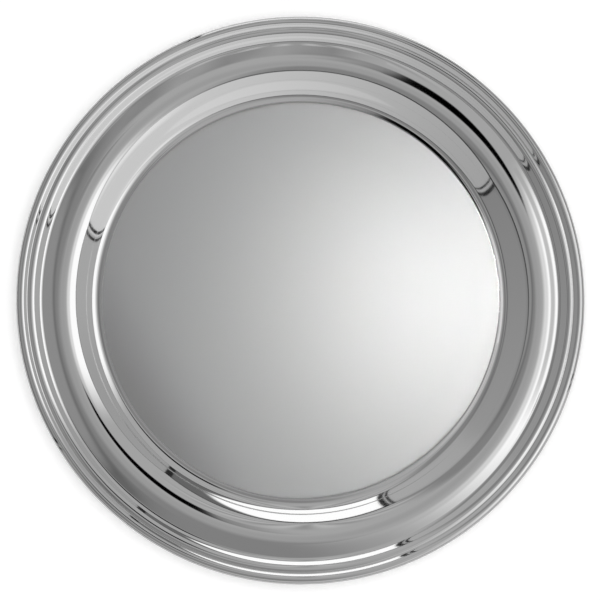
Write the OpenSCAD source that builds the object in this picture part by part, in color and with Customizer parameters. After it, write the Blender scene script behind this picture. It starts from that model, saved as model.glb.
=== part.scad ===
// A round polished metal plate with a shallow well, a rounded shoulder and a reeded border.
// The body is spun from one sheet. The border is a second, thinner shell that stands on the body's flat
// flange, is filled with solder from behind and is rolled over a wire at the edge. A felt disc is glued
// into the hollow under the floor, and the plate stands on it.
//
// Every profile is a list of stops. A stop is a radius and the slope of the polished surface at that
// radius, in degrees, positive where the surface climbs outwards. One arc runs from each stop to the next.

/* [Plate] */
// Overall diameter, over the rolled edge
plate_d = 305; // [254:1:366]
// Thickness of the sheet that the body is spun from
sheet_t = 1; // [0.8:0.05:1.2]

/* [Well] */
// Width of the rounded lip where the flat floor turns down into the ring groove
floor_lip_w = 1.6; // [1:0.1:3]
// Slope of the groove's inner side, in degrees
groove_slope = 7; // [4:1:10]
// Width of the groove's rounded bottom
groove_w = 1.2; // [0.9:0.1:1.8]
// Slope where the groove's bottom meets the wall, in degrees
groove_rise = 10; // [7:1:14]
// Width from the groove's bottom to the steepest line of the wall
wall_w = 5; // [4:0.1:7]
// Slope of the wall at its steepest line, in degrees
wall_slope = 47; // [35:1:58]

/* [Shoulder] */
// Width of the haunch, which rounds the wall over into the shoulder
haunch_w = 11; // [9:0.1:14]
// Slope where the haunch meets the shoulder, in degrees
haunch_slope = 6; // [3:1:12]
// Width of the shoulder
shoulder_w = 11.7; // [9:0.1:14.5]
// Downward slope at the shoulder's outer foot, in degrees
shoulder_fall = 17.5; // [12:0.5:24]
// Radius of the bend from the shoulder's foot into the flat flange
foot_bend_r = 1.6; // [1.2:0.1:2.5]

/* [Border] */
// Thickness of the border shell
border_t = 0.8; // [0.6:0.05:1]
// Height of the blunt toe at the border's seam
toe_h = 0.3; // [0.2:0.05:0.5]
// Slope of the border where it leaves the toe, in degrees
toe_slope = 5; // [2:1:8]
// Width of the hollow between the seam and the reed's flank
toe_w = 2.7; // [2.2:0.1:3.3]
// Upward slope at the foot of the reed's flank, in degrees
flank_rise = 45; // [38:1:50]
// Width of the reed's flank
flank_w = 3.2; // [2.6:0.1:3.9]
// Upward slope where the flank meets the reed's narrow crest, in degrees
crest_rise = 4; // [2:1:8]
// Width of the reed's crest
crest_w = 1.4; // [1.1:0.1:1.7]
// Downward slope at the crest's outer foot, in degrees
crest_fall = 20; // [14:1:24]
// Width of the quirk, the narrow valley between the reed and the edge bead
quirk_w = 1.3; // [1:0.1:1.7]
// Upward slope at the bead's foot, in degrees
bead_rise = 48; // [40:1:54]
// Width of the bead, from its foot to where the rolled edge begins
bead_w = 3.6; // [3:0.1:4.4]
// Downward slope where the rolled edge begins, in degrees
edge_fall = 18; // [12:1:26]
// Width of the lip that is turned in under the edge
lip_w = 1; // [0.6:0.1:1.2]

/* [Edge wire] */
// Clearance round the wire, inside the rolled edge and against the filling
wire_clear = 0.05; // [0.02:0.01:0.1]
// Clearance between the flange's edge and the turned-in lip
lip_clear = 0.1; // [0.05:0.05:0.3]

/* [Base felt] */
// Thickness of the felt
felt_t = 1.6; // [1.2:0.1:3]
// Margin between the felt's edge and the edge of the flat floor
felt_margin = 5; // [3:0.5:12]

/* [Hidden] */
$fn = 180;

// Largest turn from one point of a profile to the next, in degrees
arc_step = 3;

// Radius of the arc from stop a to stop b, negative where the surface is hollow
function arc_radius(a, b) = (b[0] - a[0]) / (sin(a[1]) - sin(b[1]));

// Climb from stop a to stop b
function arc_climb(a, b) = a[1] == b[1]
    ? (b[0] - a[0]) * tan(a[1])
    : arc_radius(a, b) * (cos(b[1]) - cos(a[1]));

// Height at stop i of a profile that starts at height z
function height_at(stops, z, i) = i == 0
    ? z
    : height_at(stops, z, i - 1) + arc_climb(stops[i - 1], stops[i]);

// Point of the arc from a, at height z, to b where the slope is s, taken at a depth under the surface
function arc_point(a, b, z, s, depth) =
    let (surface = a[1] == b[1]
        ? [a[0], z]
        : [a[0], z] + arc_radius(a, b) * [sin(a[1]) - sin(s), cos(s) - cos(a[1])])
    surface + depth * [sin(s), -cos(s)];

// Points of one arc, without its last one
function arc_points(a, b, z, depth) =
    let (steps = max(1, ceil(abs(b[1] - a[1]) / arc_step)))
    [for (k = [0 : steps - 1]) arc_point(a, b, z, a[1] + (b[1] - a[1]) * k / steps, depth)];

// All points of a profile at a depth under its surface
function skin(stops, z, depth) =
    let (last = len(stops) - 1, s = stops[last][1])
    [
        for (i = [0 : last - 1])
            each arc_points(stops[i], stops[i + 1], height_at(stops, z, i), depth),
        [stops[last][0], height_at(stops, z, last)] + depth * [sin(s), -cos(s)]
    ];

function reversed(points) = [for (i = [len(points) - 1 : -1 : 0]) points[i]];

// Closed outline of a sheet whose upper surface is the profile
function sheet_outline(stops, z, thickness) =
    concat(skin(stops, z, 0), reversed(skin(stops, z, thickness)));

// The border's height over the flange where the rolled edge begins sets the radius of the roll, so that
// the lip that it turns in lies level with the flange
brow_climb = toe_h
    + arc_climb([0, toe_slope], [toe_w, flank_rise])
    + arc_climb([0, flank_rise], [flank_w, crest_rise])
    + arc_climb([0, crest_rise], [crest_w, -crest_fall])
    + arc_climb([0, -crest_fall], [quirk_w, bead_rise])
    + arc_climb([0, bead_rise], [bead_w, -edge_fall]);
edge_r = (brow_climb + border_t) / (1 + cos(edge_fall));
wire_seat_d = 2 * (edge_r - border_t);
wire_d = wire_seat_d - 2 * wire_clear;

// Radii of the stops, from the edge inwards
roll_r = plate_d / 2 - edge_r;
brow_r = roll_r + edge_r * sin(edge_fall);
bead_r = brow_r - bead_w;
quirk_r = bead_r - quirk_w;
crest_r = quirk_r - crest_w;
flank_r = crest_r - flank_w;
toe_r = flank_r - toe_w;
lip_r = roll_r - lip_w;
flange_r = lip_r - lip_clear;
foot_r = toe_r - foot_bend_r * sin(shoulder_fall);
shoulder_r = foot_r - shoulder_w;
steep_r = shoulder_r - haunch_w;
bottom_r = steep_r - wall_w;
groove_r = bottom_r - groove_w;
floor_r = groove_r - floor_lip_w;
felt_r = floor_r - felt_margin;

body_stops = [
    [0, 0],
    [floor_r, 0],
    [groove_r, -groove_slope],
    [bottom_r, groove_rise],
    [steep_r, wall_slope],
    [shoulder_r, haunch_slope],
    [foot_r, -shoulder_fall],
    [toe_r, 0],
    [flange_r, 0]
];
floor_z = felt_t + sheet_t;
flange_z = height_at(body_stops, floor_z, len(body_stops) - 1);

// The border's stops over the reed and the bead, then round the rolled edge and in along the lip
reeded_stops = [
    [toe_r, toe_slope],
    [flank_r, flank_rise],
    [crest_r, crest_rise],
    [quirk_r, -crest_fall],
    [bead_r, bead_rise],
    [brow_r, -edge_fall]
];
border_stops = concat(reeded_stops, [[plate_d / 2, -90], [roll_r, -180], [lip_r, -180]]);
toe_z = flange_z + toe_h;
wire_z = flange_z - border_t + edge_r;
// The solder reaches this radius, part of the way round the wire
filling_r = roll_r - wire_d / 4;

// Round section at the wire's place
module wire_section(d) {
    translate([roll_r, wire_z]) circle(d = d);
}

// The strip of flange that the border's toe stands on, as deep as the border shell
module flange_strip() {
    translate([foot_r, flange_z - border_t]) square([flange_r - foot_r, border_t]);
}

module plate_body() {
    color("silver") rotate_extrude() polygon(sheet_outline(body_stops, floor_z, sheet_t));
}

module border_moulding() {
    color("gainsboro") rotate_extrude() difference() {
        polygon(sheet_outline(border_stops, toe_z, border_t));
        flange_strip();
    }
}

module border_filling() {
    color("gray") rotate_extrude() difference() {
        intersection() {
            polygon(concat(skin(reeded_stops, toe_z, border_t), [[brow_r, flange_z], [toe_r, flange_z]]));
            translate([toe_r, flange_z]) square([filling_r - toe_r, 2 * edge_r]);
        }
        wire_section(wire_seat_d);
    }
}

module edge_wire() {
    color("dimgray") rotate_extrude() wire_section(wire_d);
}

module base_felt() {
    color("maroon") cylinder(r = felt_r, h = felt_t);
}

plate_body();
border_moulding();
border_filling();
edge_wire();
base_felt();
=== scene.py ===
# %% [markdown]
# # A polished offering plate
#
# The plate is a thin metal sheet, spun over a form on a lathe, with a stamped and reeded border soldered to
# its rim and a disc of felt glued underneath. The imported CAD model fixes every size. This lesson gives the
# pieces their finished surfaces and puts the plate in a small photo studio, seen from above.

import math

import bpy
from mathutils import Matrix, Vector


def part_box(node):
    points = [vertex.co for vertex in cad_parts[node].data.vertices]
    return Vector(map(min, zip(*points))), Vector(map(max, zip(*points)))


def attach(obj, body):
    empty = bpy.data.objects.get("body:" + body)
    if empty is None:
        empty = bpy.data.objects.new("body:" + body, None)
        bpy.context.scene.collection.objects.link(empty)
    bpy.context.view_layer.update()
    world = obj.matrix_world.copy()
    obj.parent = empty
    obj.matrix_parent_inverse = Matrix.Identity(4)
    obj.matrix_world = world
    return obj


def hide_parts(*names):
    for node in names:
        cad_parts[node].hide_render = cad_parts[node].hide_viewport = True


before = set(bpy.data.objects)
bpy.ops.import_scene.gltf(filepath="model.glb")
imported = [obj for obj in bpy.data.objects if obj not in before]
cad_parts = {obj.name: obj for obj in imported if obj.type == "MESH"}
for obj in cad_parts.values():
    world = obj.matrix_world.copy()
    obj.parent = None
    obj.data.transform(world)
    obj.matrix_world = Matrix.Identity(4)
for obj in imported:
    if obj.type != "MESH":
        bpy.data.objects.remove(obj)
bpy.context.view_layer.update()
MM = 0.001
print("CAD nodes:", sorted(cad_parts))

# %% [markdown]
# The camera comes first, because everything is judged through it. It looks down on the plate, but not quite
# along its axis: the inner rings of a dish move towards the camera's side, and here they sit a little off
# the rim's centre, which means a lean of a few degrees. An orthographic camera would see every ring from the
# same direction, and the mirror would show the room wrongly, so the camera is a perspective one a little
# over a metre away. Its focal length follows from the size at which the rim should appear, and its aim from
# where the rim's centre should be in the picture. The near side of a leaning circle swells a little, so the
# aim moves towards it.

# %% Camera over the plate
CAMERA_DISTANCE = 1.2
CAMERA_LEAN = 4.0
CAMERA_SIDE = 235
PICTURE_PX = 600
RIM_CENTRE_PX = Vector((300.3, 300.6))
RIM_RADIUS_PX = 284.5
SENSOR_MM = 36


def direction(azimuth_deg, polar_deg):
    """The unit vector at an azimuth, counted from +X towards +Y, and a polar angle from the zenith."""
    a, p = math.radians(azimuth_deg), math.radians(polar_deg)
    return Vector((math.sin(p) * math.cos(a), math.sin(p) * math.sin(a), math.cos(p)))


rim_low, rim_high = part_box("border_moulding")
plate_r = rim_high.x
metres_per_px = plate_r / RIM_RADIUS_PX
off_centre = (RIM_CENTRE_PX - Vector((PICTURE_PX / 2, PICTURE_PX / 2))) * metres_per_px
backwards = direction(CAMERA_SIDE, CAMERA_LEAN)
near_side_swell = plate_r**2 / CAMERA_DISTANCE * backwards.xy
aim = Vector((-off_centre.x, off_centre.y, (rim_low.z + rim_high.z) / 2))
aim.xy += near_side_swell
to_the_right = Vector((0, 1, 0)).cross(backwards).normalized()
upwards = backwards.cross(to_the_right)
turn = Matrix((to_the_right, upwards, backwards)).transposed().to_euler()

bpy.ops.object.camera_add(location=aim + backwards * CAMERA_DISTANCE, rotation=turn)
camera = bpy.context.object
camera.name = "camera"
camera.data.sensor_width = SENSOR_MM
camera.data.lens = CAMERA_DISTANCE / metres_per_px * SENSOR_MM / PICTURE_PX
bpy.context.scene.camera = camera
bpy.context.scene.view_settings.view_transform = "Standard"
print("lens in mm:", round(camera.data.lens, 1))

# %% [markdown]
# A spun or stamped section is a chain of arcs that run smoothly into each other. A Bezier curve could
# follow it, but in a mirror the eye sees slopes, not heights, so slopes are what should be set. One arc is
# known when the radius and the slope are known at both of its ends. A profile is therefore a list of such
# stops, in millimetres and degrees, positive where the surface climbs outwards. The helper walks along the
# stops and returns points on the polished surface, or at a depth under it, which is how a sheet gets its
# other side.


# %% Points along a profile
def profile_points(stops, start_z, depth, turn_deg):
    """Points (radius, height) along the stops, with one point for each turn of turn_deg at most."""
    points = []
    z = start_z
    for (r_a, slope_a), (r_b, slope_b) in zip(stops, stops[1:]):
        a, b = math.radians(slope_a), math.radians(slope_b)
        straight = slope_a == slope_b
        bend = 0 if straight else (r_b - r_a) / (math.sin(a) - math.sin(b))
        steps = max(1, math.ceil(abs(slope_b - slope_a) / turn_deg))
        for k in range(steps):
            s = a + (b - a) * k / steps
            r = r_a + bend * (math.sin(a) - math.sin(s))
            h = z + bend * (math.cos(s) - math.cos(a))
            points.append((r + depth * math.sin(s), h - depth * math.cos(s)))
        z += (r_b - r_a) * math.tan(a) if straight else bend * (math.cos(b) - math.cos(a))
    last = math.radians(stops[-1][1])
    points.append((stops[-1][0] + depth * math.sin(last), z - depth * math.cos(last)))
    return points


quarter = profile_points([(0, 0), (10, -90)], 0, 0, 9)
print("a quarter turn of 10 mm ends at", [round(x, 2) for x in quarter[-1]])

# %% [markdown]
# Spinning is how the real sheet gets its shape, and it is also how the mesh is made. One vertex is extruded
# along the section, as with a pen, the outline is closed, and the Spin tool carries it once round the
# plate's axis. A Screw modifier would do the same, but Spin leaves plain geometry that can be checked at
# once. It doubles the vertices at its seam and on the axis, so they are merged, and then all faces are
# turned outwards.

# %% Lathe helper
SPIN_STEPS = 288
SMOOTH_DEG = 28
MERGE_WITHIN = 0.001 * MM


def lathe(name, outline):
    """A closed solid of revolution about Z from an outline of (radius, height) in millimetres."""
    bpy.ops.object.select_all(action="DESELECT")
    bpy.ops.mesh.primitive_plane_add(size=MM)
    piece = bpy.context.object
    piece.name = name
    bpy.ops.object.mode_set(mode="EDIT")
    bpy.ops.mesh.merge(type="CENTER")
    r, z = outline[0]
    bpy.ops.transform.translate(value=(r * MM, 0, z * MM))
    for next_r, next_z in outline[1:]:
        step = ((next_r - r) * MM, 0, (next_z - z) * MM)
        bpy.ops.mesh.extrude_region_move(TRANSFORM_OT_translate={"value": step})
        r, z = next_r, next_z
    if outline[0][0] > 0:
        close_outline(piece)
    bpy.ops.mesh.select_all(action="SELECT")
    bpy.ops.mesh.spin(steps=SPIN_STEPS, angle=math.tau, center=(0, 0, 0), axis=(0, 0, 1))
    bpy.ops.mesh.select_all(action="SELECT")
    bpy.ops.mesh.remove_doubles(threshold=MERGE_WITHIN)
    bpy.ops.mesh.normals_make_consistent(inside=False)
    bpy.ops.object.mode_set(mode="OBJECT")
    bpy.ops.object.shade_smooth_by_angle(angle=math.radians(SMOOTH_DEG))
    print(name, "has", len(piece.data.polygons), "faces")
    return piece


def close_outline(piece):
    """Joins the first and the last vertex of the extruded outline with an edge."""
    bpy.ops.mesh.select_all(action="DESELECT")
    bpy.ops.object.mode_set(mode="OBJECT")
    ends = {v.index: 0 for v in piece.data.vertices}
    for edge in piece.data.edges:
        for index in edge.vertices:
            ends[index] += 1
    for index, uses in ends.items():
        piece.data.vertices[index].select = uses == 1
    bpy.ops.object.mode_set(mode="EDIT")
    bpy.ops.mesh.edge_face_add()


# %% [markdown]
# The border is the second sheet: a thinner shell that climbs from a blunt toe at the seam over a reed with
# a narrow crest, drops into a fine valley called a quirk, rises over a bead and is rolled over a wire at
# the edge, with its lip turned in underneath. All sizes are counted from the edge inwards, so the border's
# stops come before the body's. They repeat the CAD model, because a mirror needs a finer mesh than the CAD
# export holds. The roll's radius follows from the height that the shell has reached.

# %% Stops of the border
BORDER_T = 0.8
TOE_H = 0.3
TOE_SLOPE = 5
TOE_W = 2.7
FLANK_RISE = 45
FLANK_W = 3.2
CREST_RISE = 4
CREST_W = 1.4
CREST_FALL = 20
QUIRK_W = 1.3
BEAD_RISE = 48
BEAD_W = 3.6
EDGE_FALL = 18
LIP_W = 1.0
LIP_CLEAR = 0.1

from_toe = []
reach = 0
for width, slope in (
    (0, TOE_SLOPE),
    (TOE_W, FLANK_RISE),
    (FLANK_W, CREST_RISE),
    (CREST_W, -CREST_FALL),
    (QUIRK_W, BEAD_RISE),
    (BEAD_W, -EDGE_FALL),
):
    reach += width
    from_toe.append((reach, slope))
brow_climb = TOE_H + profile_points(from_toe, 0, 0, 1)[-1][1]
fall = math.radians(EDGE_FALL)
edge_r = (brow_climb + BORDER_T) / (1 + math.cos(fall))
roll_r = plate_r / MM - edge_r
lip_r = roll_r - LIP_W
toe_r = roll_r + edge_r * math.sin(fall) - reach
reeded_stops = [(toe_r + r, slope) for r, slope in from_toe]
border_stops = reeded_stops + [(roll_r + edge_r, -90), (roll_r, -180), (lip_r, -180)]
print("seam radius", round(toe_r, 3), "mm, roll radius", round(edge_r, 3), "mm")

# %% [markdown]
# The body is one sheet: a flat floor, a lip that drops into a shallow ring groove, the wall of the well,
# the rounded shoulder, and a flat flange that runs on under the border. Its stops are counted inwards from
# the seam. One more ring close to the floor's edge keeps the flat floor flat in its shading.

# %% Body sheet
SHEET_T = 1.0
FELT_T = 1.6
FOOT_BEND_R = 1.6
SHOULDER_FALL = 17.5
SHOULDER_W = 11.7
HAUNCH_SLOPE = 6
HAUNCH_W = 11.0
WALL_SLOPE = 47
WALL_W = 5.0
GROOVE_RISE = 10
GROOVE_W = 1.2
GROOVE_SLOPE = 7
FLOOR_LIP_W = 1.6
FLOOR_GUARD = 0.4
TOP_TURN = 1.0
UNDER_TURN = 2.5

flange_r = lip_r - LIP_CLEAR
foot_r = toe_r - FOOT_BEND_R * math.sin(math.radians(SHOULDER_FALL))
shoulder_r = foot_r - SHOULDER_W
steep_r = shoulder_r - HAUNCH_W
bottom_r = steep_r - WALL_W
groove_r = bottom_r - GROOVE_W
floor_r = groove_r - FLOOR_LIP_W
floor_z = FELT_T + SHEET_T
body_stops = [
    (0, 0),
    (floor_r - FLOOR_GUARD, 0),
    (floor_r, 0),
    (groove_r, -GROOVE_SLOPE),
    (bottom_r, GROOVE_RISE),
    (steep_r, WALL_SLOPE),
    (shoulder_r, HAUNCH_SLOPE),
    (foot_r, -SHOULDER_FALL),
    (toe_r, 0),
    (flange_r, 0),
]
body_top = profile_points(body_stops, floor_z, 0, TOP_TURN)
body_under = profile_points(body_stops, floor_z, SHEET_T, UNDER_TURN)
plate_body = lathe("plate_body_sheet", body_top + body_under[::-1])
flange_z = body_top[-1][1]

# %% [markdown]
# The border's shell is turned from its own stops, out along the polished side and back along the hollow one,
# down to a toe that stands on the flange. A Solidify modifier could give the shell its thickness, but it
# would push the toe into the flange. Here the points of the hollow side that lie in the flange are left out,
# so the two sheets touch and don't overlap.

# %% Border shell
OUTER_TURN = 2.5
INNER_TURN = 5.0

toe_z = flange_z + TOE_H
shell_outside = profile_points(border_stops, toe_z, 0, OUTER_TURN)
shell_inside = profile_points(border_stops, toe_z, BORDER_T, INNER_TURN)
clear_inside = [p for p in shell_inside if p[1] > flange_z or p[0] > flange_r]
toe_foot = [(clear_inside[0][0], flange_z), (toe_r, flange_z)]
border = lathe("border_shell", shell_outside + clear_inside[::-1] + toe_foot)
rim_top = max(z for r, z in shell_outside)
print("rim top at", round(rim_top, 3), "mm; CAD says", round(rim_high.z / MM, 3))

# %% [markdown]
# The felt under the floor is cut from a sheet with shears and glued on, so its rim is a little uneven and
# its face isn't dead flat. It could be a thin cylinder, but that would have the hard edges of a machined
# disc. It is turned from a rounded section with many rings, pushed about by Displace modifiers with cloud
# textures, one along Z for the face and two across for the rim, and then kept above the table.

# %% Felt disc
FELT_EDGE_R = 0.6
FELT_EDGE_TURN = 15
FELT_RING = 3.0
FELT_SINK = 0.02
FELT_LUMPS = (
    ("face", "Z", 5 * MM, 0.16 * MM),
    ("rim", "X", 14 * MM, 0.5 * MM),
    ("rim", "Y", 14 * MM, 0.5 * MM),
)

felt_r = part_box("base_felt")[1].x / MM - FELT_EDGE_R
felt_top = FELT_T - FELT_SINK
rings = math.floor(felt_r / FELT_RING)
face_radii = [felt_r * k / rings for k in range(rings)]
round_edge = profile_points([(felt_r - FELT_EDGE_R, 0), (felt_r, -90)], felt_top, 0, FELT_EDGE_TURN)
felt_outline = [(r, felt_top) for r in face_radii] + round_edge
felt_outline += [(r, felt_top - z) for r, z in reversed(felt_outline)]
felt = lathe("felt_disc", felt_outline)
for lump, axis, grain, lift in FELT_LUMPS:
    clouds = bpy.data.textures.new(f"felt_{lump}_{axis}", "CLOUDS")
    clouds.noise_scale = grain
    push = felt.modifiers.new(f"{lump}_{axis}", "DISPLACE")
    push.texture = clouds
    push.texture_coords = "LOCAL"
    push.direction = axis
    push.strength = lift
    bpy.ops.object.modifier_apply(modifier=push.name)
for vertex in felt.data.vertices:
    vertex.co.z = min(max(vertex.co.z, 0), felt_top * MM)
print("felt spans", [round(side / MM, 2) for side in felt.dimensions], "mm")

# %% [markdown]
# Each new piece rides on the plate's one body and stands for its CAD node, which is hidden. The wire
# and the solder keep their CAD shapes, because they are closed inside the border.

# %% Ride and stand for the CAD nodes
for piece, node, slot in (
    (plate_body, "plate_body", "polished_sheet"),
    (border, "border_moulding", "polished_border"),
    (felt, "base_felt", "felt"),
):
    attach(piece, "root")
    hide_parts(node)

# %% [markdown]
# Materials are small trees of nodes. Making each node by hand takes five lines, so one helper adds a node,
# sets its options and links or fills its inputs. Another starts an empty material, and the rest make the
# few groups of nodes that every finish here is built from.


# %% Node helpers
def add_node(tree, kind, inputs=None, **settings):
    """Adds a shader node; each input is a number, a colour or another node's output."""
    node = tree.nodes.new("ShaderNode" + kind)
    for name, value in settings.items():
        setattr(node, name, value)
    for socket, value in (inputs or {}).items():
        if isinstance(value, bpy.types.NodeSocket):
            tree.links.new(value, node.inputs[socket])
        else:
            node.inputs[socket].default_value = value
    return node


def new_material(name):
    """An empty node material, its tree and its output socket."""
    material = bpy.data.materials.new(name)
    material.use_nodes = True
    tree = material.node_tree
    tree.nodes.clear()
    return material, tree, add_node(tree, "OutputMaterial").inputs["Surface"]


def object_place(tree):
    """The place on the piece, in metres."""
    return add_node(tree, "TexCoord").outputs["Object"]


def radius_of(tree):
    """The distance from the plate's axis, in metres."""
    flat = add_node(tree, "VectorMath", {0: object_place(tree), 1: (1, 1, 0)}, operation="MULTIPLY")
    return add_node(tree, "VectorMath", {0: flat.outputs[0]}, operation="LENGTH").outputs["Value"]


def ring_noise(tree, radius, per_metre):
    """Noise that changes only with the radius, as the marks of a lathe do."""
    across = add_node(tree, "Math", {0: radius, 1: per_metre}, operation="MULTIPLY").outputs[0]
    inputs = {"W": across, "Scale": 1.0, "Detail": 2.0}
    return add_node(tree, "TexNoise", inputs, noise_dimensions="1D").outputs[0]


def spot_noise(tree, per_metre, detail):
    """Noise in spots, the same in all directions."""
    inputs = {"Vector": object_place(tree), "Scale": per_metre, "Detail": detail}
    return add_node(tree, "TexNoise", inputs).outputs[0]


def remap(tree, value, old=(0, 1), new=(0, 1)):
    """Carries a value from an old range to a new one and keeps it inside."""
    inputs = {"Value": value, "From Min": old[0], "From Max": old[1], "To Min": new[0], "To Max": new[1]}
    return add_node(tree, "MapRange", inputs).outputs["Result"]


def blend(tree, share, colour_a, colour_b):
    """A colour between two; a Mix node has its colours at inputs 6 and 7 and at output 2."""
    return add_node(tree, "Mix", {"Factor": share, 6: colour_a, 7: colour_b}, data_type="RGBA").outputs[2]


def bump(tree, height, depth, strength=1.0):
    """The normal of a skin with small heights in it."""
    return add_node(tree, "Bump", {"Height": height, "Distance": depth, "Strength": strength}).outputs[0]


def finish_metal(tree, surface, colour, rough, normal):
    """Ends a tree in a metal shader."""
    inputs = {"Base Color": colour, "Metallic": 1.0, "Roughness": rough, "Normal": normal}
    tree.links.new(add_node(tree, "BsdfPrincipled", inputs).outputs[0], surface)


print("node helpers ready")

# %% [markdown]
# Silver plate is buffed on a wheel while it turns, so the mirror keeps very faint rings. They hardly show
# by themselves, but they make reflections of straight edges waver a little, which is what tells polished
# metal from a perfect computed mirror. A thin haze, never quite even, takes the last sharpness off. The
# floor is not buffed so far: it has a satin finish that blurs the studio into one soft gradient. It could be
# a piece of its own, but it is the same sheet, so the body's one material changes at the floor's edge. The
# border is a mirror all over, but its outermost edge is painted darker, a painted shade that stands for the
# shadowed floor it reflects.

# %% Polished sheet
SILVER = (0.9, 0.9, 0.9, 1)
SATIN_SILVER = (0.6, 0.6, 0.6, 1)
CLEAR_ROUGHNESS = 0.03
HAZY_ROUGHNESS = 0.06
HAZE_SPOTS = 60
HAZE_DETAIL = 3.0
SATIN_ROUGHNESS = 0.322
SATIN_EDGE = 0.5 * MM
# Painted shade: the border's outermost edge is painted darker, standing for the shadowed floor it reflects.
EDGE_SHADE_SILVER = (0.45, 0.45, 0.45, 1)
EDGE_SHADE_FADE = 0.8 * MM
BUFF_RINGS = 260
BUFF_HEIGHT = 0.004 * MM


def polished_metal(name, satin_radius=None, edge_shade_radius=None):
    """A buffed mirror with a thin haze; satin inside one radius, or painted darker outside another, as
    painted shade.
    """
    material, tree, surface = new_material(name)
    radius = radius_of(tree)
    waver = bump(tree, ring_noise(tree, radius, BUFF_RINGS), BUFF_HEIGHT)
    haze = spot_noise(tree, HAZE_SPOTS, HAZE_DETAIL)
    rough = remap(tree, haze, new=(CLEAR_ROUGHNESS, HAZY_ROUGHNESS))
    colour = SILVER
    # Painted shade: the colour darkens outside this radius, towards the outer edge of the roll.
    if edge_shade_radius:
        edge_shade = remap(tree, radius, (edge_shade_radius, edge_shade_radius + EDGE_SHADE_FADE))
        colour = blend(tree, edge_shade, SILVER, EDGE_SHADE_SILVER)
    if satin_radius:
        polish = remap(tree, radius, (satin_radius - SATIN_EDGE, satin_radius + SATIN_EDGE))
        colour = blend(tree, polish, SATIN_SILVER, SILVER)
        rough = add_node(tree, "Mix", {"Factor": polish, 2: SATIN_ROUGHNESS, 3: rough}).outputs[0]
    finish_metal(tree, surface, colour, rough, waver)
    return material


plate_body.data.materials.append(polished_metal("polished_sheet", floor_r * MM))
border.data.materials.append(polished_metal("polished_border", edge_shade_radius=(roll_r + edge_r / 3) * MM))
print("polished sheet and border")

# %% [markdown]
# Underneath, nobody buffs a plate. The back keeps the fine grooves of the spinning lathe and the dull grey
# that plated metal takes where it is never wiped. It is a second material on the body, given to the faces
# that look down.

# %% Spun underside
BACK_BRIGHT = (0.62, 0.61, 0.6, 1)
BACK_DULL = (0.4, 0.39, 0.38, 1)
BACK_ROUGHNESS = (0.24, 0.46)
LATHE_MARKS = 1400
LATHE_DEPTH = 0.01 * MM
LATHE_STRENGTH = 0.6
DULL_PATCHES = 28
PATCH_DETAIL = 4.0
DOWN = -0.05

material, tree, surface = new_material("spun_underside")
marks = ring_noise(tree, radius_of(tree), LATHE_MARKS)
colour = blend(tree, spot_noise(tree, DULL_PATCHES, PATCH_DETAIL), BACK_BRIGHT, BACK_DULL)
grooves = bump(tree, marks, LATHE_DEPTH, LATHE_STRENGTH)
finish_metal(tree, surface, colour, remap(tree, marks, new=BACK_ROUGHNESS), grooves)
plate_body.data.materials.append(material)
for face in plate_body.data.polygons:
    face.material_index = int(face.normal.z < DOWN)
print(sum(face.material_index for face in plate_body.data.polygons), "faces of the underside")

# %% [markdown]
# Felt is a mat of pressed wool. Up close it is a tangle of short fibres with a soft sheen. Its colour is
# painted lighter where the fibres stand up and darker in the hollows between, as painted shade. Two noises,
# one bent by the other, give the tangle.

# %% Felt
FELT_DARK = (0.085, 0.008, 0.015, 1)
FELT_LIGHT = (0.25, 0.035, 0.058, 1)
TANGLE = 420
TANGLE_BEND = 0.004
FIBRES = 1100
FIBRE_HEIGHT = 0.3 * MM
TUFT_RANGE = (0.36, 0.64)

material, tree, surface = new_material("wool_felt")
place = object_place(tree)
drift = add_node(tree, "TexNoise", {"Vector": place, "Scale": TANGLE, "Detail": 3.0}).outputs["Color"]
bends = {0: drift, 1: (TANGLE_BEND, TANGLE_BEND, TANGLE_BEND), 2: place}
bent = add_node(tree, "VectorMath", bends, operation="MULTIPLY_ADD").outputs[0]
fibres = add_node(tree, "TexNoise", {"Vector": bent, "Scale": FIBRES, "Detail": 5.0, "Roughness": 0.7})
tufts = remap(tree, fibres.outputs[0], TUFT_RANGE)
# Painted shade: the colour is darker where the fibres' bumps are low and lighter where they stand up.
shader = add_node(tree, "BsdfPrincipled", {
    "Base Color": blend(tree, tufts, FELT_DARK, FELT_LIGHT), "Roughness": 0.95, "Specular IOR Level": 0.2,
    "Sheen Weight": 0.35, "Sheen Roughness": 0.5, "Normal": bump(tree, tufts, FIBRE_HEIGHT),
})
tree.links.new(shader.outputs[0], surface)
felt.data.materials.append(material)
print("felt fibres about", round(1 / FIBRES / MM, 2), "mm apart")

# %% [markdown]
# The solder and the wire are closed inside the border, but whoever takes the plate apart should find what
# they are. Solder is a dull grey casting, mottled where it cooled. Drawn wire has fine scratches along its
# length, which here runs round the plate, so its marks change with the radius only.

# %% Solder and wire
SOLDER_TONES = ((0.58, 0.59, 0.61, 1), (0.42, 0.43, 0.45, 1))
SOLDER_ROUGHNESS = (0.45, 0.7)
SOLDER_SPOTS = 240
SOLDER_DETAIL = 4.0
SOLDER_DEPTH = 0.1 * MM
WIRE_TONES = ((0.42, 0.42, 0.43, 1), (0.3, 0.3, 0.31, 1))
WIRE_ROUGHNESS = (0.25, 0.45)
WIRE_MARKS = 4000
WIRE_DEPTH = 0.02 * MM
SKIN_STRENGTH = 0.7


def solder_spots(tree):
    return spot_noise(tree, SOLDER_SPOTS, SOLDER_DETAIL)


def wire_marks(tree):
    return ring_noise(tree, radius_of(tree), WIRE_MARKS)


def dull_metal(name, marks_of, tones, roughness, depth):
    """Unpolished metal with two tones and an uneven skin, all from the same marks."""
    material, tree, surface = new_material(name)
    marks = marks_of(tree)
    skin = bump(tree, marks, depth, SKIN_STRENGTH)
    finish_metal(tree, surface, blend(tree, marks, *tones), remap(tree, marks, new=roughness), skin)
    return material


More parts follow.
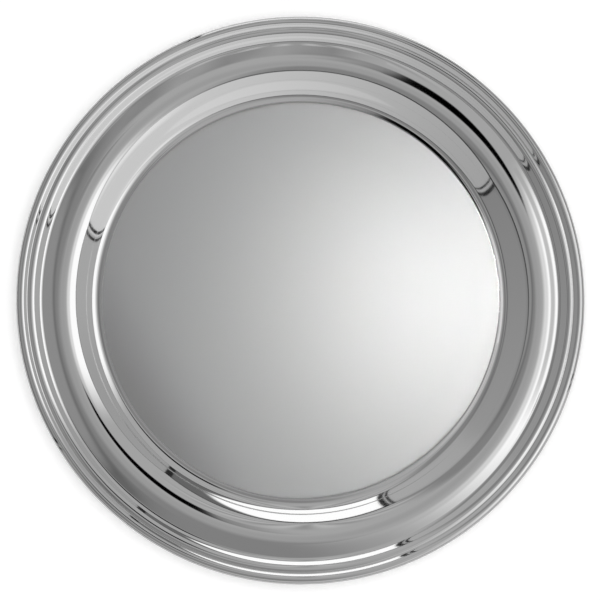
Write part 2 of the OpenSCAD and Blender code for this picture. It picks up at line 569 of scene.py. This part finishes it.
hidden_metals = {
    "border_filling": dull_metal("solder", solder_spots, SOLDER_TONES, SOLDER_ROUGHNESS, SOLDER_DEPTH),
    "edge_wire": dull_metal("drawn_wire", wire_marks, WIRE_TONES, WIRE_ROUGHNESS, WIRE_DEPTH),
}
for node, metal in hidden_metals.items():
    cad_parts[node].data.materials.clear()
    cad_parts[node].data.materials.append(metal)
print("hidden metals on", sorted(hidden_metals))

# %% [markdown]
# A mirror has no looks of its own: it shows the room. The plate stands in a small white tent with four
# posts, a lit back wall, a soft light beyond the right of its roof and a dark flag beside that light. All of
# it can be read in the rings of the well and the border, each ring showing the whole tent once more. Every
# cloth is a panel that glows as brightly as the lit cloth is, and is placed by directions from the plate.
# Real lamps and white cloth would do the same, but with far more noise in the mirror. All directions are in
# degrees, as an azimuth and a polar angle, and all glows are shares of white.

# %% Helpers of the tent
ROOF_DISTANCE = 20.0
WALL_DISTANCE = 14.0
BAR_DISTANCE = 13.0
POST_DISTANCE = 12.0
SKIRT = 93

glow_material, tree, surface = new_material("lit_cloth")
glow = add_node(tree, "Attribute", attribute_name="glow").outputs["Fac"]
light = add_node(tree, "Emission", {"Strength": glow})
tree.links.new(light.outputs[0], surface)


def mix(a, b, share):
    """A number or a vector between two."""
    return a + (b - a) * share


def soft_step(low, high, x):
    """A soft step from 0 at low to 1 at high."""
    share = min(max((x - low) / (high - low), 0), 1)
    return share * share * (3 - 2 * share)


def bell(middle, width, x):
    """A bell curve, 1 in its middle."""
    return math.exp(-(((x - middle) / width) ** 2))


def east_of(azimuth):
    """The azimuth counted from -180 to 180, so that what lies across +X is in one run."""
    return (azimuth + 180) % 360 - 180


def oval_reach(azimuth, polar, middle, size):
    """How far a direction is from the middle of an oval, where 1 is the oval's edge."""
    return math.hypot((azimuth - middle[0]) / size[0], (polar - middle[1]) / size[1])


def angles_of(point):
    """Azimuth from 0 to 360 and polar angle of a point."""
    return math.degrees(math.atan2(point.y, point.x)) % 360, math.degrees(Vector((0, 0, 1)).angle(point))


def hang(cloth, name, glow_at):
    """Hangs a cloth in the tent, out of the camera's sight, and sets how each of its points glows."""
    cloth.name = name
    glow = cloth.data.attributes.new("glow", "FLOAT", "POINT")
    for i, vertex in enumerate(cloth.data.vertices):
        glow.data[i].value = glow_at(i, *angles_of(vertex.co))
    cloth.data.materials.append(glow_material)
    cloth.visible_camera = False


def spread(name, cells, place_at, glow_at):
    """Spreads a grid over the places that place_at gives for shares u and v across it, and hangs it."""
    bpy.ops.object.select_all(action="DESELECT")
    bpy.ops.mesh.primitive_grid_add(x_subdivisions=cells, y_subdivisions=cells, size=1)
    cloth = bpy.context.object
    shares = [(vertex.co.x + 0.5, vertex.co.y + 0.5) for vertex in cloth.data.vertices]
    for vertex, (u, v) in zip(cloth.data.vertices, shares):
        vertex.co = place_at(u, v)
    hang(cloth, name, lambda i, azimuth, polar: glow_at(azimuth, polar, *shares[i]))
    return cloth


def panel(name, distance, tops, feet, cells, glow_at):
    """A panel between two top corners and two feet, which are all directions from the plate."""
    top_a, top_b, foot_a, foot_b = (direction(*corner) * distance for corner in (*tops, *feet))
    spread(name, cells, lambda u, v: mix(mix(top_a, top_b, u), mix(foot_a, foot_b, u), v), glow_at)


print("tent helpers ready")

# %% [markdown]
# The roof's cloth isn't even. On the left it bellies inwards, so a lighter patch has a dark rim round it,
# and at the back it is gathered to one point, where its folds run together. It could be draped as real
# cloth, but the rings show only its shades, so the shades are what is set.

# %% Belly and folds of the roof
BELLY_MIDDLE = (183, 36)
BELLY_SIZE = (41, 20.5)
BELLY_FADE = (1, 0.75)
BELLY_LIGHT = 0.045
BELLY_RIM_DARK = 0.065
BELLY_RIM_WIDTH = 0.17
GATHER_POINT = (89, 52)
GATHER_SQUEEZE = 0.7
GATHER_START = (3, 7)
GATHER_END = (30, 16)
GATHER_ABOVE = (0, -4)
GATHER_FOLDS = 15
GATHER_DEPTH = 0.26


def belly_glow(azimuth, polar):
    """What the belly on the left adds to the roof."""
    reach = oval_reach(azimuth, polar, BELLY_MIDDLE, BELLY_SIZE)
    return BELLY_LIGHT * soft_step(*BELLY_FADE, reach) - BELLY_RIM_DARK * bell(1, BELLY_RIM_WIDTH, reach)


def gather_glow(azimuth, polar):
    """The folds that run to one point at the back of the roof, as a factor."""
    across = (azimuth - GATHER_POINT[0]) * GATHER_SQUEEZE
    down = polar - GATHER_POINT[1]
    distance = math.hypot(across, down)
    fade = soft_step(*GATHER_START, distance) * soft_step(*GATHER_END, distance)
    fade *= soft_step(*GATHER_ABOVE, down)
    return 1 + GATHER_DEPTH * fade * math.sin(GATHER_FOLDS * math.atan2(across, -down))


print("the belly adds", round(belly_glow(*BELLY_MIDDLE), 3), "in its middle")

# %% [markdown]
# The soft light rises in two steps, as a lamp behind two layers of cloth does, and fades out at its sides.
# The flag is a wedge of dark cloth with soft edges, rounded at its tip and with a tail that fades slowly.

# %% Soft light and flag
SOFT_LIGHT_GLOW = 1.08
SOFT_LIGHT_STEPS = ((10, 18), (21, 27))
SOFT_LIGHT_FRONT = (-48, -14)
SOFT_LIGHT_BACK = (37, 20)
FLAG_START = 29.5
FLAG_WEDGE = 22
FLAG_HALF = 6.6
FLAG_MIDDLE = 14.8
FLAG_SINK = 3.0
FLAG_EDGE = (1.2, 0.85)
FLAG_TIP = (30, 33)
FLAG_TAIL = ((0.6, 67, 62), (0.4, 84, 64))
THINNEST = 0.001


def soft_light_share(azimuth, polar, front=SOFT_LIGHT_FRONT):
    """How much of the soft light shows in a direction; front is where it fades in from the front."""
    east = east_of(azimuth)
    sides = soft_step(*front, east) * soft_step(*SOFT_LIGHT_BACK, east)
    steps = [soft_step(*step, polar) for step in SOFT_LIGHT_STEPS]
    return sides * sum(steps) / len(steps)


def flag_share(azimuth, polar):
    """How much of the flag covers a direction."""
    wedge = min(max((azimuth - FLAG_START) / FLAG_WEDGE, THINNEST), 1)
    half = FLAG_HALF * math.sqrt(wedge)
    middle = FLAG_MIDDLE + FLAG_SINK * wedge
    tail = sum(share * soft_step(end, start, azimuth) for share, end, start in FLAG_TAIL)
    return soft_step(*FLAG_TIP, azimuth) * tail * soft_step(*FLAG_EDGE, abs(polar - middle) / half)


print("the flag starts at", FLAG_START, "degrees")

# %% [markdown]
# The roof is a dome. It is an even grey overhead, lighter over the back and the right, and darker on the
# left and at the front. One glow for each point of a plain sphere is enough, because the cloth's shades are
# soft.

# %% Roof
ZENITH_GLOW = 0.35
ZENITH_FADE = (2, 11)
SHADE_GLOW = 0.235
LIT_GLOW = 0.4
LIT_BACK = (122, 108)
LIT_FRONT = (280, 314)
ROOF_SEGMENTS = 240
ROOF_RINGS = 135


def roof_glow(azimuth, polar):
    """How brightly the roof glows in a direction."""
    lit = max(soft_step(*LIT_BACK, azimuth), soft_step(*LIT_FRONT, azimuth))
    side = mix(SHADE_GLOW, LIT_GLOW, lit) + belly_glow(azimuth, polar)
    cloth = mix(ZENITH_GLOW, side * gather_glow(azimuth, polar), soft_step(*ZENITH_FADE, polar))
    cloth = mix(cloth, SOFT_LIGHT_GLOW, soft_light_share(azimuth, polar))
    return cloth * (1 - flag_share(azimuth, polar))


bpy.ops.object.select_all(action="DESELECT")
bpy.ops.mesh.primitive_uv_sphere_add(segments=ROOF_SEGMENTS, ring_count=ROOF_RINGS, radius=ROOF_DISTANCE)
roof = bpy.context.object
hang(roof, "tent_roof", lambda i, azimuth, polar: roof_glow(azimuth, polar))
print("roof with", len(roof.data.vertices), "points")

# %% [markdown]
# The walls hang between the tops of the posts. A straight edge between two posts shows as an arch in a ring
# of the plate, and panels that are flat in space give that for nothing. The front wall is in two, because
# its upper bar sags. The back wall has the lit opening with one round corner.

# %% Walls
CORNERS = {
    "back_right": (53, 66),
    "back_left": (109, 50),
    "front_left": (209, 34),
    "front_right": (347, 44),
}
FRONT_SAG = (275, 20.5)
WALL_CELLS = 48
RIGHT_GLOWS, RIGHT_FADE = (0.41, 0.35), (0, 30)
BACK_GLOW, OPENING_GLOW = 0.14, 1.1
OPENING_CORNER, OPENING_SIZE = (98, 92), (34, 40)
OPENING_EDGE, OPENING_END = (1.06, 0.95), (107.8, 107)
LEFT_GLOWS, LEFT_START, LEFT_SPAN = (0.33, 0.24), 132, 76
LEFT_LIFT, LEFT_LIFT_FADE = 0.06, (141, 131)
LEFT_TOP_SHADE, LEFT_TOP_FADE = 0.75, (0, 0.3)
FRONT_GLOWS, FRONT_FADE = (0.39, 0.63), (205, 320)
OVAL_LIFT, OVAL_EDGE = 0.07, (1.08, 0.92)
OVAL_MIDDLE, OVAL_SIZE = (279, 92), (35, 31)
SHEEN_LIFT, SHEEN_SIDE, SHEEN_TOP = 0.2, (300, 322), (52, 36)


def right_wall_glow(azimuth, polar, u, v):
    return mix(*RIGHT_GLOWS, soft_step(*RIGHT_FADE, east_of(azimuth)))


def back_wall_glow(azimuth, polar, u, v):
    corner = (min(azimuth, OPENING_CORNER[0]), min(polar, OPENING_CORNER[1]))
    reach = oval_reach(*corner, OPENING_CORNER, OPENING_SIZE)
    opening = soft_step(*OPENING_EDGE, reach) * soft_step(*OPENING_END, azimuth)
    return mix(BACK_GLOW, OPENING_GLOW, opening)


def left_wall_glow(azimuth, polar, u, v):
    level = mix(*LEFT_GLOWS, (azimuth - LEFT_START) / LEFT_SPAN)
    level += LEFT_LIFT * soft_step(*LEFT_LIFT_FADE, azimuth)
    return level * mix(LEFT_TOP_SHADE, 1, soft_step(*LEFT_TOP_FADE, v))


def front_wall_glow(azimuth, polar, u, v):
    level = mix(*FRONT_GLOWS, soft_step(*FRONT_FADE, azimuth))
    oval = soft_step(*OVAL_EDGE, oval_reach(azimuth, polar, OVAL_MIDDLE, OVAL_SIZE))
    sheen = soft_step(*SHEEN_SIDE, azimuth) * soft_step(*SHEEN_TOP, polar)
    return level + OVAL_LIFT * oval + SHEEN_LIFT * sheen


def wall(name, top_a, top_b, glow_at):
    feet = ((top_a[0], SKIRT), (top_b[0], SKIRT))
    panel(name, WALL_DISTANCE, (top_a, top_b), feet, WALL_CELLS, glow_at)


wall("right_wall", CORNERS["front_right"], CORNERS["back_right"], right_wall_glow)
wall("back_wall", CORNERS["back_right"], CORNERS["back_left"], back_wall_glow)
wall("left_wall", CORNERS["back_left"], CORNERS["front_left"], left_wall_glow)
wall("front_wall_left", CORNERS["front_left"], FRONT_SAG, front_wall_glow)
wall("front_wall_right", FRONT_SAG, CORNERS["front_right"], front_wall_glow)
print("walls between", len(CORNERS), "posts")

# %% [markdown]
# The frame of the tent shows as thin dark lines: two fine edges at most posts, one thick line at the back,
# and bars under the roof that fade where the cloth lies over them. Round tubes would show the same lines,
# but a narrow panel can have its own glow along its length.

# %% Posts and bars
POST_GLOW = 0.02
POST_CELLS = 2
POST_LINES = {
    "back_right": [(0, 2.0)],
    "back_left": [(-0.9, 1.3), (0.9, 0.8)],
    "front_left": [(-0.8, 1.2), (1.2, 0.6)],
    "front_right": [(-1.0, 0.9), (1.0, 0.8)],
}
BAR_WIDTH = 4.0
THIN_BAR_WIDTH = 1.8
BAR_CELLS = 24
BACK_BAR_GLOW = 0.1
RIGHT_BAR_GLOW = 0.22
LEFT_BAR_GLOWS, LEFT_BAR_FADE = (0.24, 0.04), (120, 200)
FRONT_BAR_GLOWS, FRONT_BAR_FADE = (0.04, 0.12), (240, 270)
FRONT_BAR_VEIL, FRONT_BAR_VEIL_FADE = 0.45, (290, 325)

for corner, lines in POST_LINES.items():
    azimuth, roof_edge = CORNERS[corner]
    for k, (offset, width) in enumerate(lines):
        ends = (azimuth + offset - width / 2, azimuth + offset + width / 2)
        tops = [(end, roof_edge) for end in ends]
        feet = [(end, SKIRT) for end in ends]
        panel(f"post_{corner}_{k}", POST_DISTANCE, tops, feet, POST_CELLS, lambda a, p, u, v: POST_GLOW)


def bar(name, a, b, glow_at, width=BAR_WIDTH):
    """A bar that hangs under the roof's edge between two directions."""
    feet = [(azimuth, polar + width) for azimuth, polar in (a, b)]
    panel(name, BAR_DISTANCE, (a, b), feet, BAR_CELLS, glow_at)


def left_bar_glow(azimuth, polar, u, v):
    return mix(*LEFT_BAR_GLOWS, soft_step(*LEFT_BAR_FADE, azimuth))


def front_bar_glow(azimuth, polar, u, v):
    level = mix(*FRONT_BAR_GLOWS, soft_step(*FRONT_BAR_FADE, azimuth))
    return level + FRONT_BAR_VEIL * soft_step(*FRONT_BAR_VEIL_FADE, azimuth)


def right_bar_glow(azimuth, polar, u, v):
    return RIGHT_BAR_GLOW


bar("bar_back", CORNERS["back_right"], CORNERS["back_left"], lambda a, p, u, v: BACK_BAR_GLOW)
bar("bar_left", CORNERS["back_left"], CORNERS["front_left"], left_bar_glow)
bar("bar_front_left", CORNERS["front_left"], FRONT_SAG, front_bar_glow)
bar("bar_front_right", FRONT_SAG, CORNERS["front_right"], front_bar_glow)
bar("bar_right", CORNERS["front_right"], CORNERS["back_right"], right_bar_glow, THIN_BAR_WIDTH)

# %% [markdown]
# Seen in the near side of the shoulder, the roof's cloth runs on past the tops of the walls, because it is
# drawn down there inside the tent, in folds at the back and a belly at the left. A grey tape crosses the
# soft light in the same way. From across the plate these drapes are seen on edge and hide nothing, so their
# slope is that of a line from the far side of the well. The camera leans, which turns each view sideways,
# more for a near cloth, so the direction in which a drape is seen is worked out first. Only the mirror sees
# the drapes: they take no light from the paper.

# %% Drapes inside the tent
far_side = steep_r * MM
near_side = (shoulder_r + foot_r) / 2 * MM
rim_z = rim_high.z


def drape(name, azimuths, reaches, far_polar, glow_at):
    """A cloth on a cone round the plate, seen on edge from the far side at far_polar."""
    fall = math.tan(math.radians(far_polar))

    def place_at(u, v):
        reach = mix(*reaches, v)
        flat = direction(mix(*azimuths, u), 90) * reach
        return Vector((flat.x, flat.y, rim_z + (reach + far_side) / fall))

    def seen_glow(azimuth, polar, u, v):
        place = place_at(u, v)
        reach = place.xy.length
        seen_polar = math.atan2(reach - near_side, place.z - rim_z)
        nearness = near_side / (reach * math.sin(seen_polar))
        sideways = math.sin(math.radians(azimuth - CAMERA_SIDE)) * nearness
        return glow_at((azimuth + CAMERA_LEAN * sideways) % 360, math.degrees(seen_polar))

    cloth = spread(name, WALL_CELLS, place_at, seen_glow)
    cloth.visible_diffuse = False
    cloth.visible_shadow = False


print("drapes from", round(near_side, 3), "m outwards")

# %% [markdown]
# The flap is the drape at the back, the left and the front, and the tape is the one on the right. They could
# have shades of their own, but they meet where the flap ends, so both take one glow from the direction that
# they are seen in.

# %% Flap and tape
FLAP_AZIMUTHS, FLAP_REACHES, FLAP_POLAR = (69, 352), (0.165, 0.45), 57
TAPE_AZIMUTHS, TAPE_REACHES, TAPE_POLAR = (-22, 34), (0.43, 2.6), 43
LOW_FADE = (17, 22)
FOLD_GLOW, FOLD_DEPTH = 0.3, 0.05
FOLD_SIDE, FOLD_TURN, FOLD_FADE = 110, 20, (68, 80)
SHADE_FADE = (112, 138)
CREASE_DARK, CREASE_SIDE, CREASE_WIDTH = 0.05, 226, 11
FLAP_LIT_FADE = (272, 306)
FLAP_LIGHT_FRONT = (-64, -20)
TAPE_GLOW = 0.56
TAPE_TOP, TAPE_FOOT, TAPE_FRONT = (27, 31), (41, 36), (-26, -6)


def drape_glow(azimuth, polar):
    """How brightly a drape glows in a direction as the near shoulder sees it."""
    low = soft_step(*LOW_FADE, polar)
    folds = FOLD_GLOW + FOLD_DEPTH * math.cos(math.tau * (azimuth - FOLD_SIDE) / FOLD_TURN)
    back = mix(LIT_GLOW, folds, low * soft_step(*FOLD_FADE, azimuth))
    left = mix(back, SHADE_GLOW, soft_step(*SHADE_FADE, azimuth)) + belly_glow(azimuth, polar)
    left -= CREASE_DARK * low * bell(CREASE_SIDE, CREASE_WIDTH, azimuth)
    front = mix(left, LIT_GLOW, soft_step(*FLAP_LIT_FADE, azimuth))
    tape = soft_step(*TAPE_TOP, polar) * soft_step(*TAPE_FOOT, polar)
    tape *= soft_step(*TAPE_FRONT, east_of(azimuth))
    light = mix(SOFT_LIGHT_GLOW, TAPE_GLOW, tape)
    side = mix(front, light, soft_light_share(azimuth, polar, FLAP_LIGHT_FRONT))
    cloth = mix(ZENITH_GLOW, side, soft_step(*ZENITH_FADE, polar))
    return cloth * (1 - flag_share(azimuth, polar))


drape("flap", FLAP_AZIMUTHS, FLAP_REACHES, FLAP_POLAR, drape_glow)
drape("grey_tape", TAPE_AZIMUTHS, TAPE_REACHES, TAPE_POLAR, drape_glow)
print("flap over", FLAP_AZIMUTHS[1] - FLAP_AZIMUTHS[0], "degrees")

# %% [markdown]
# The floor under the plate is plain pale paper. It is lit like anything else and keeps the plate's shadow,
# but to the camera, and in the metal, it is lifted to the white of a studio sweep.

# %% Floor and world
FLOOR_RADIUS = 2.4
FLOOR_SIDES = 96
FLOOR_PAPER = (0.85, 0.85, 0.85, 1)
FLOOR_LIFT = 0.27
WORLD_WHITE = (1, 1, 1, 1)

bpy.ops.object.select_all(action="DESELECT")
bpy.ops.mesh.primitive_circle_add(vertices=FLOOR_SIDES, radius=FLOOR_RADIUS, fill_type="NGON")
floor = bpy.context.object
floor.name = "studio_floor"
material, tree, surface = new_material("studio_floor")
path = add_node(tree, "LightPath").outputs
seen = path["Is Camera Ray"]
for ray in ("Is Glossy Ray", "Is Transmission Ray"):
    seen = add_node(tree, "Math", {0: seen, 1: path[ray]}, operation="MAXIMUM").outputs[0]
lift = add_node(tree, "Math", {0: seen, 1: FLOOR_LIFT}, operation="MULTIPLY").outputs[0]
paper = add_node(tree, "BsdfDiffuse", {"Color": FLOOR_PAPER}).outputs[0]
white = add_node(tree, "Emission", {"Strength": lift}).outputs[0]
tree.links.new(add_node(tree, "AddShader", {0: paper, 1: white}).outputs[0], surface)
floor.data.materials.append(material)

world = bpy.data.worlds.new("studio_white")
bpy.context.scene.world = world
world.use_nodes = True
world.node_tree.nodes["Background"].inputs["Color"].default_value = WORLD_WHITE
world.node_tree.nodes["Background"].inputs["Strength"].default_value = 1.0
print("floor radius", FLOOR_RADIUS, "m")

# %% [markdown]
# Two lamps finish the light. A small spotlight hangs beside the camera, with its beam held to the floor of
# the well: the satin finish spreads its reflection into the gradient from the right to the left, and the
# mirror rings, outside the beam, don't show it. The beam slants and reaches further on its far side, so it
# is aimed a little towards the lamp.

# %% Spotlight on the floor of the well
SPOT_PLACE = Vector((0.23, 0.087, 1.39))
SPOT_RADIUS = 0.0005
SPOT_WATTS = 3.95
BEAM_EDGE = 0.02
BEAM_SHARE = 0.993
BEAM_SHIFT = 0.0011

floor_centre = Vector((0, 0, floor_z * MM))
towards_spot = Vector((SPOT_PLACE.x, SPOT_PLACE.y, 0)).normalized()
beam = floor_centre + towards_spot * BEAM_SHIFT - SPOT_PLACE
spot_turn = beam.to_track_quat("-Z", "Y").to_euler()
bpy.ops.object.light_add(type="SPOT", location=SPOT_PLACE, rotation=spot_turn)
spot = bpy.context.object
spot.name = "spot_on_the_floor"
spot.data.energy = SPOT_WATTS
spot.data.shadow_soft_size = SPOT_RADIUS
spot.data.spot_size = 2 * math.atan(BEAM_SHARE * floor_r * MM / beam.length)
spot.data.spot_blend = BEAM_EDGE
spot.data.cycles.max_bounces = 1
spot.visible_camera = False
print("beam across", round(math.degrees(spot.data.spot_size), 2), "degrees")

# %% [markdown]
# A small plate close to the lamp, called a barn door, takes some of the beam off the floor at the lower
# left, with a soft edge because it is so near. A wide lamp lights what isn't metal, the paper and the felt,
# so that their colours come out as they are written.

# %% Barn door and wide lamp
DOOR_SIDE = 212
DOOR_REACH = 0.09
DOOR_SHARE = 0.025
DOOR_SIZE = 0.02
FILL_PLACE = (0, 0, 3.0)
FILL_SIZE = 3.0
FILL_WATTS = 60

outwards = direction(DOOR_SIDE, 90)
shade_line = floor_centre + outwards * DOOR_REACH
door_edge = SPOT_PLACE + (shade_line - SPOT_PLACE) * DOOR_SHARE
door_middle = door_edge + outwards * DOOR_SIZE / 2
door_turn = (0, 0, math.radians(DOOR_SIDE))
bpy.ops.object.select_all(action="DESELECT")
bpy.ops.mesh.primitive_plane_add(size=DOOR_SIZE, location=door_middle, rotation=door_turn)
door = bpy.context.object
door.name = "barn_door"
door.visible_camera = False
door.visible_glossy = False
door.visible_diffuse = False

bpy.ops.object.light_add(type="AREA", location=FILL_PLACE)
fill = bpy.context.object
fill.name = "paper_light"
fill.data.size = FILL_SIZE
fill.data.energy = FILL_WATTS
fill.visible_camera = False
fill.visible_glossy = False
print("barn door", round((door_middle - SPOT_PLACE).length / MM, 1), "mm from the lamp")
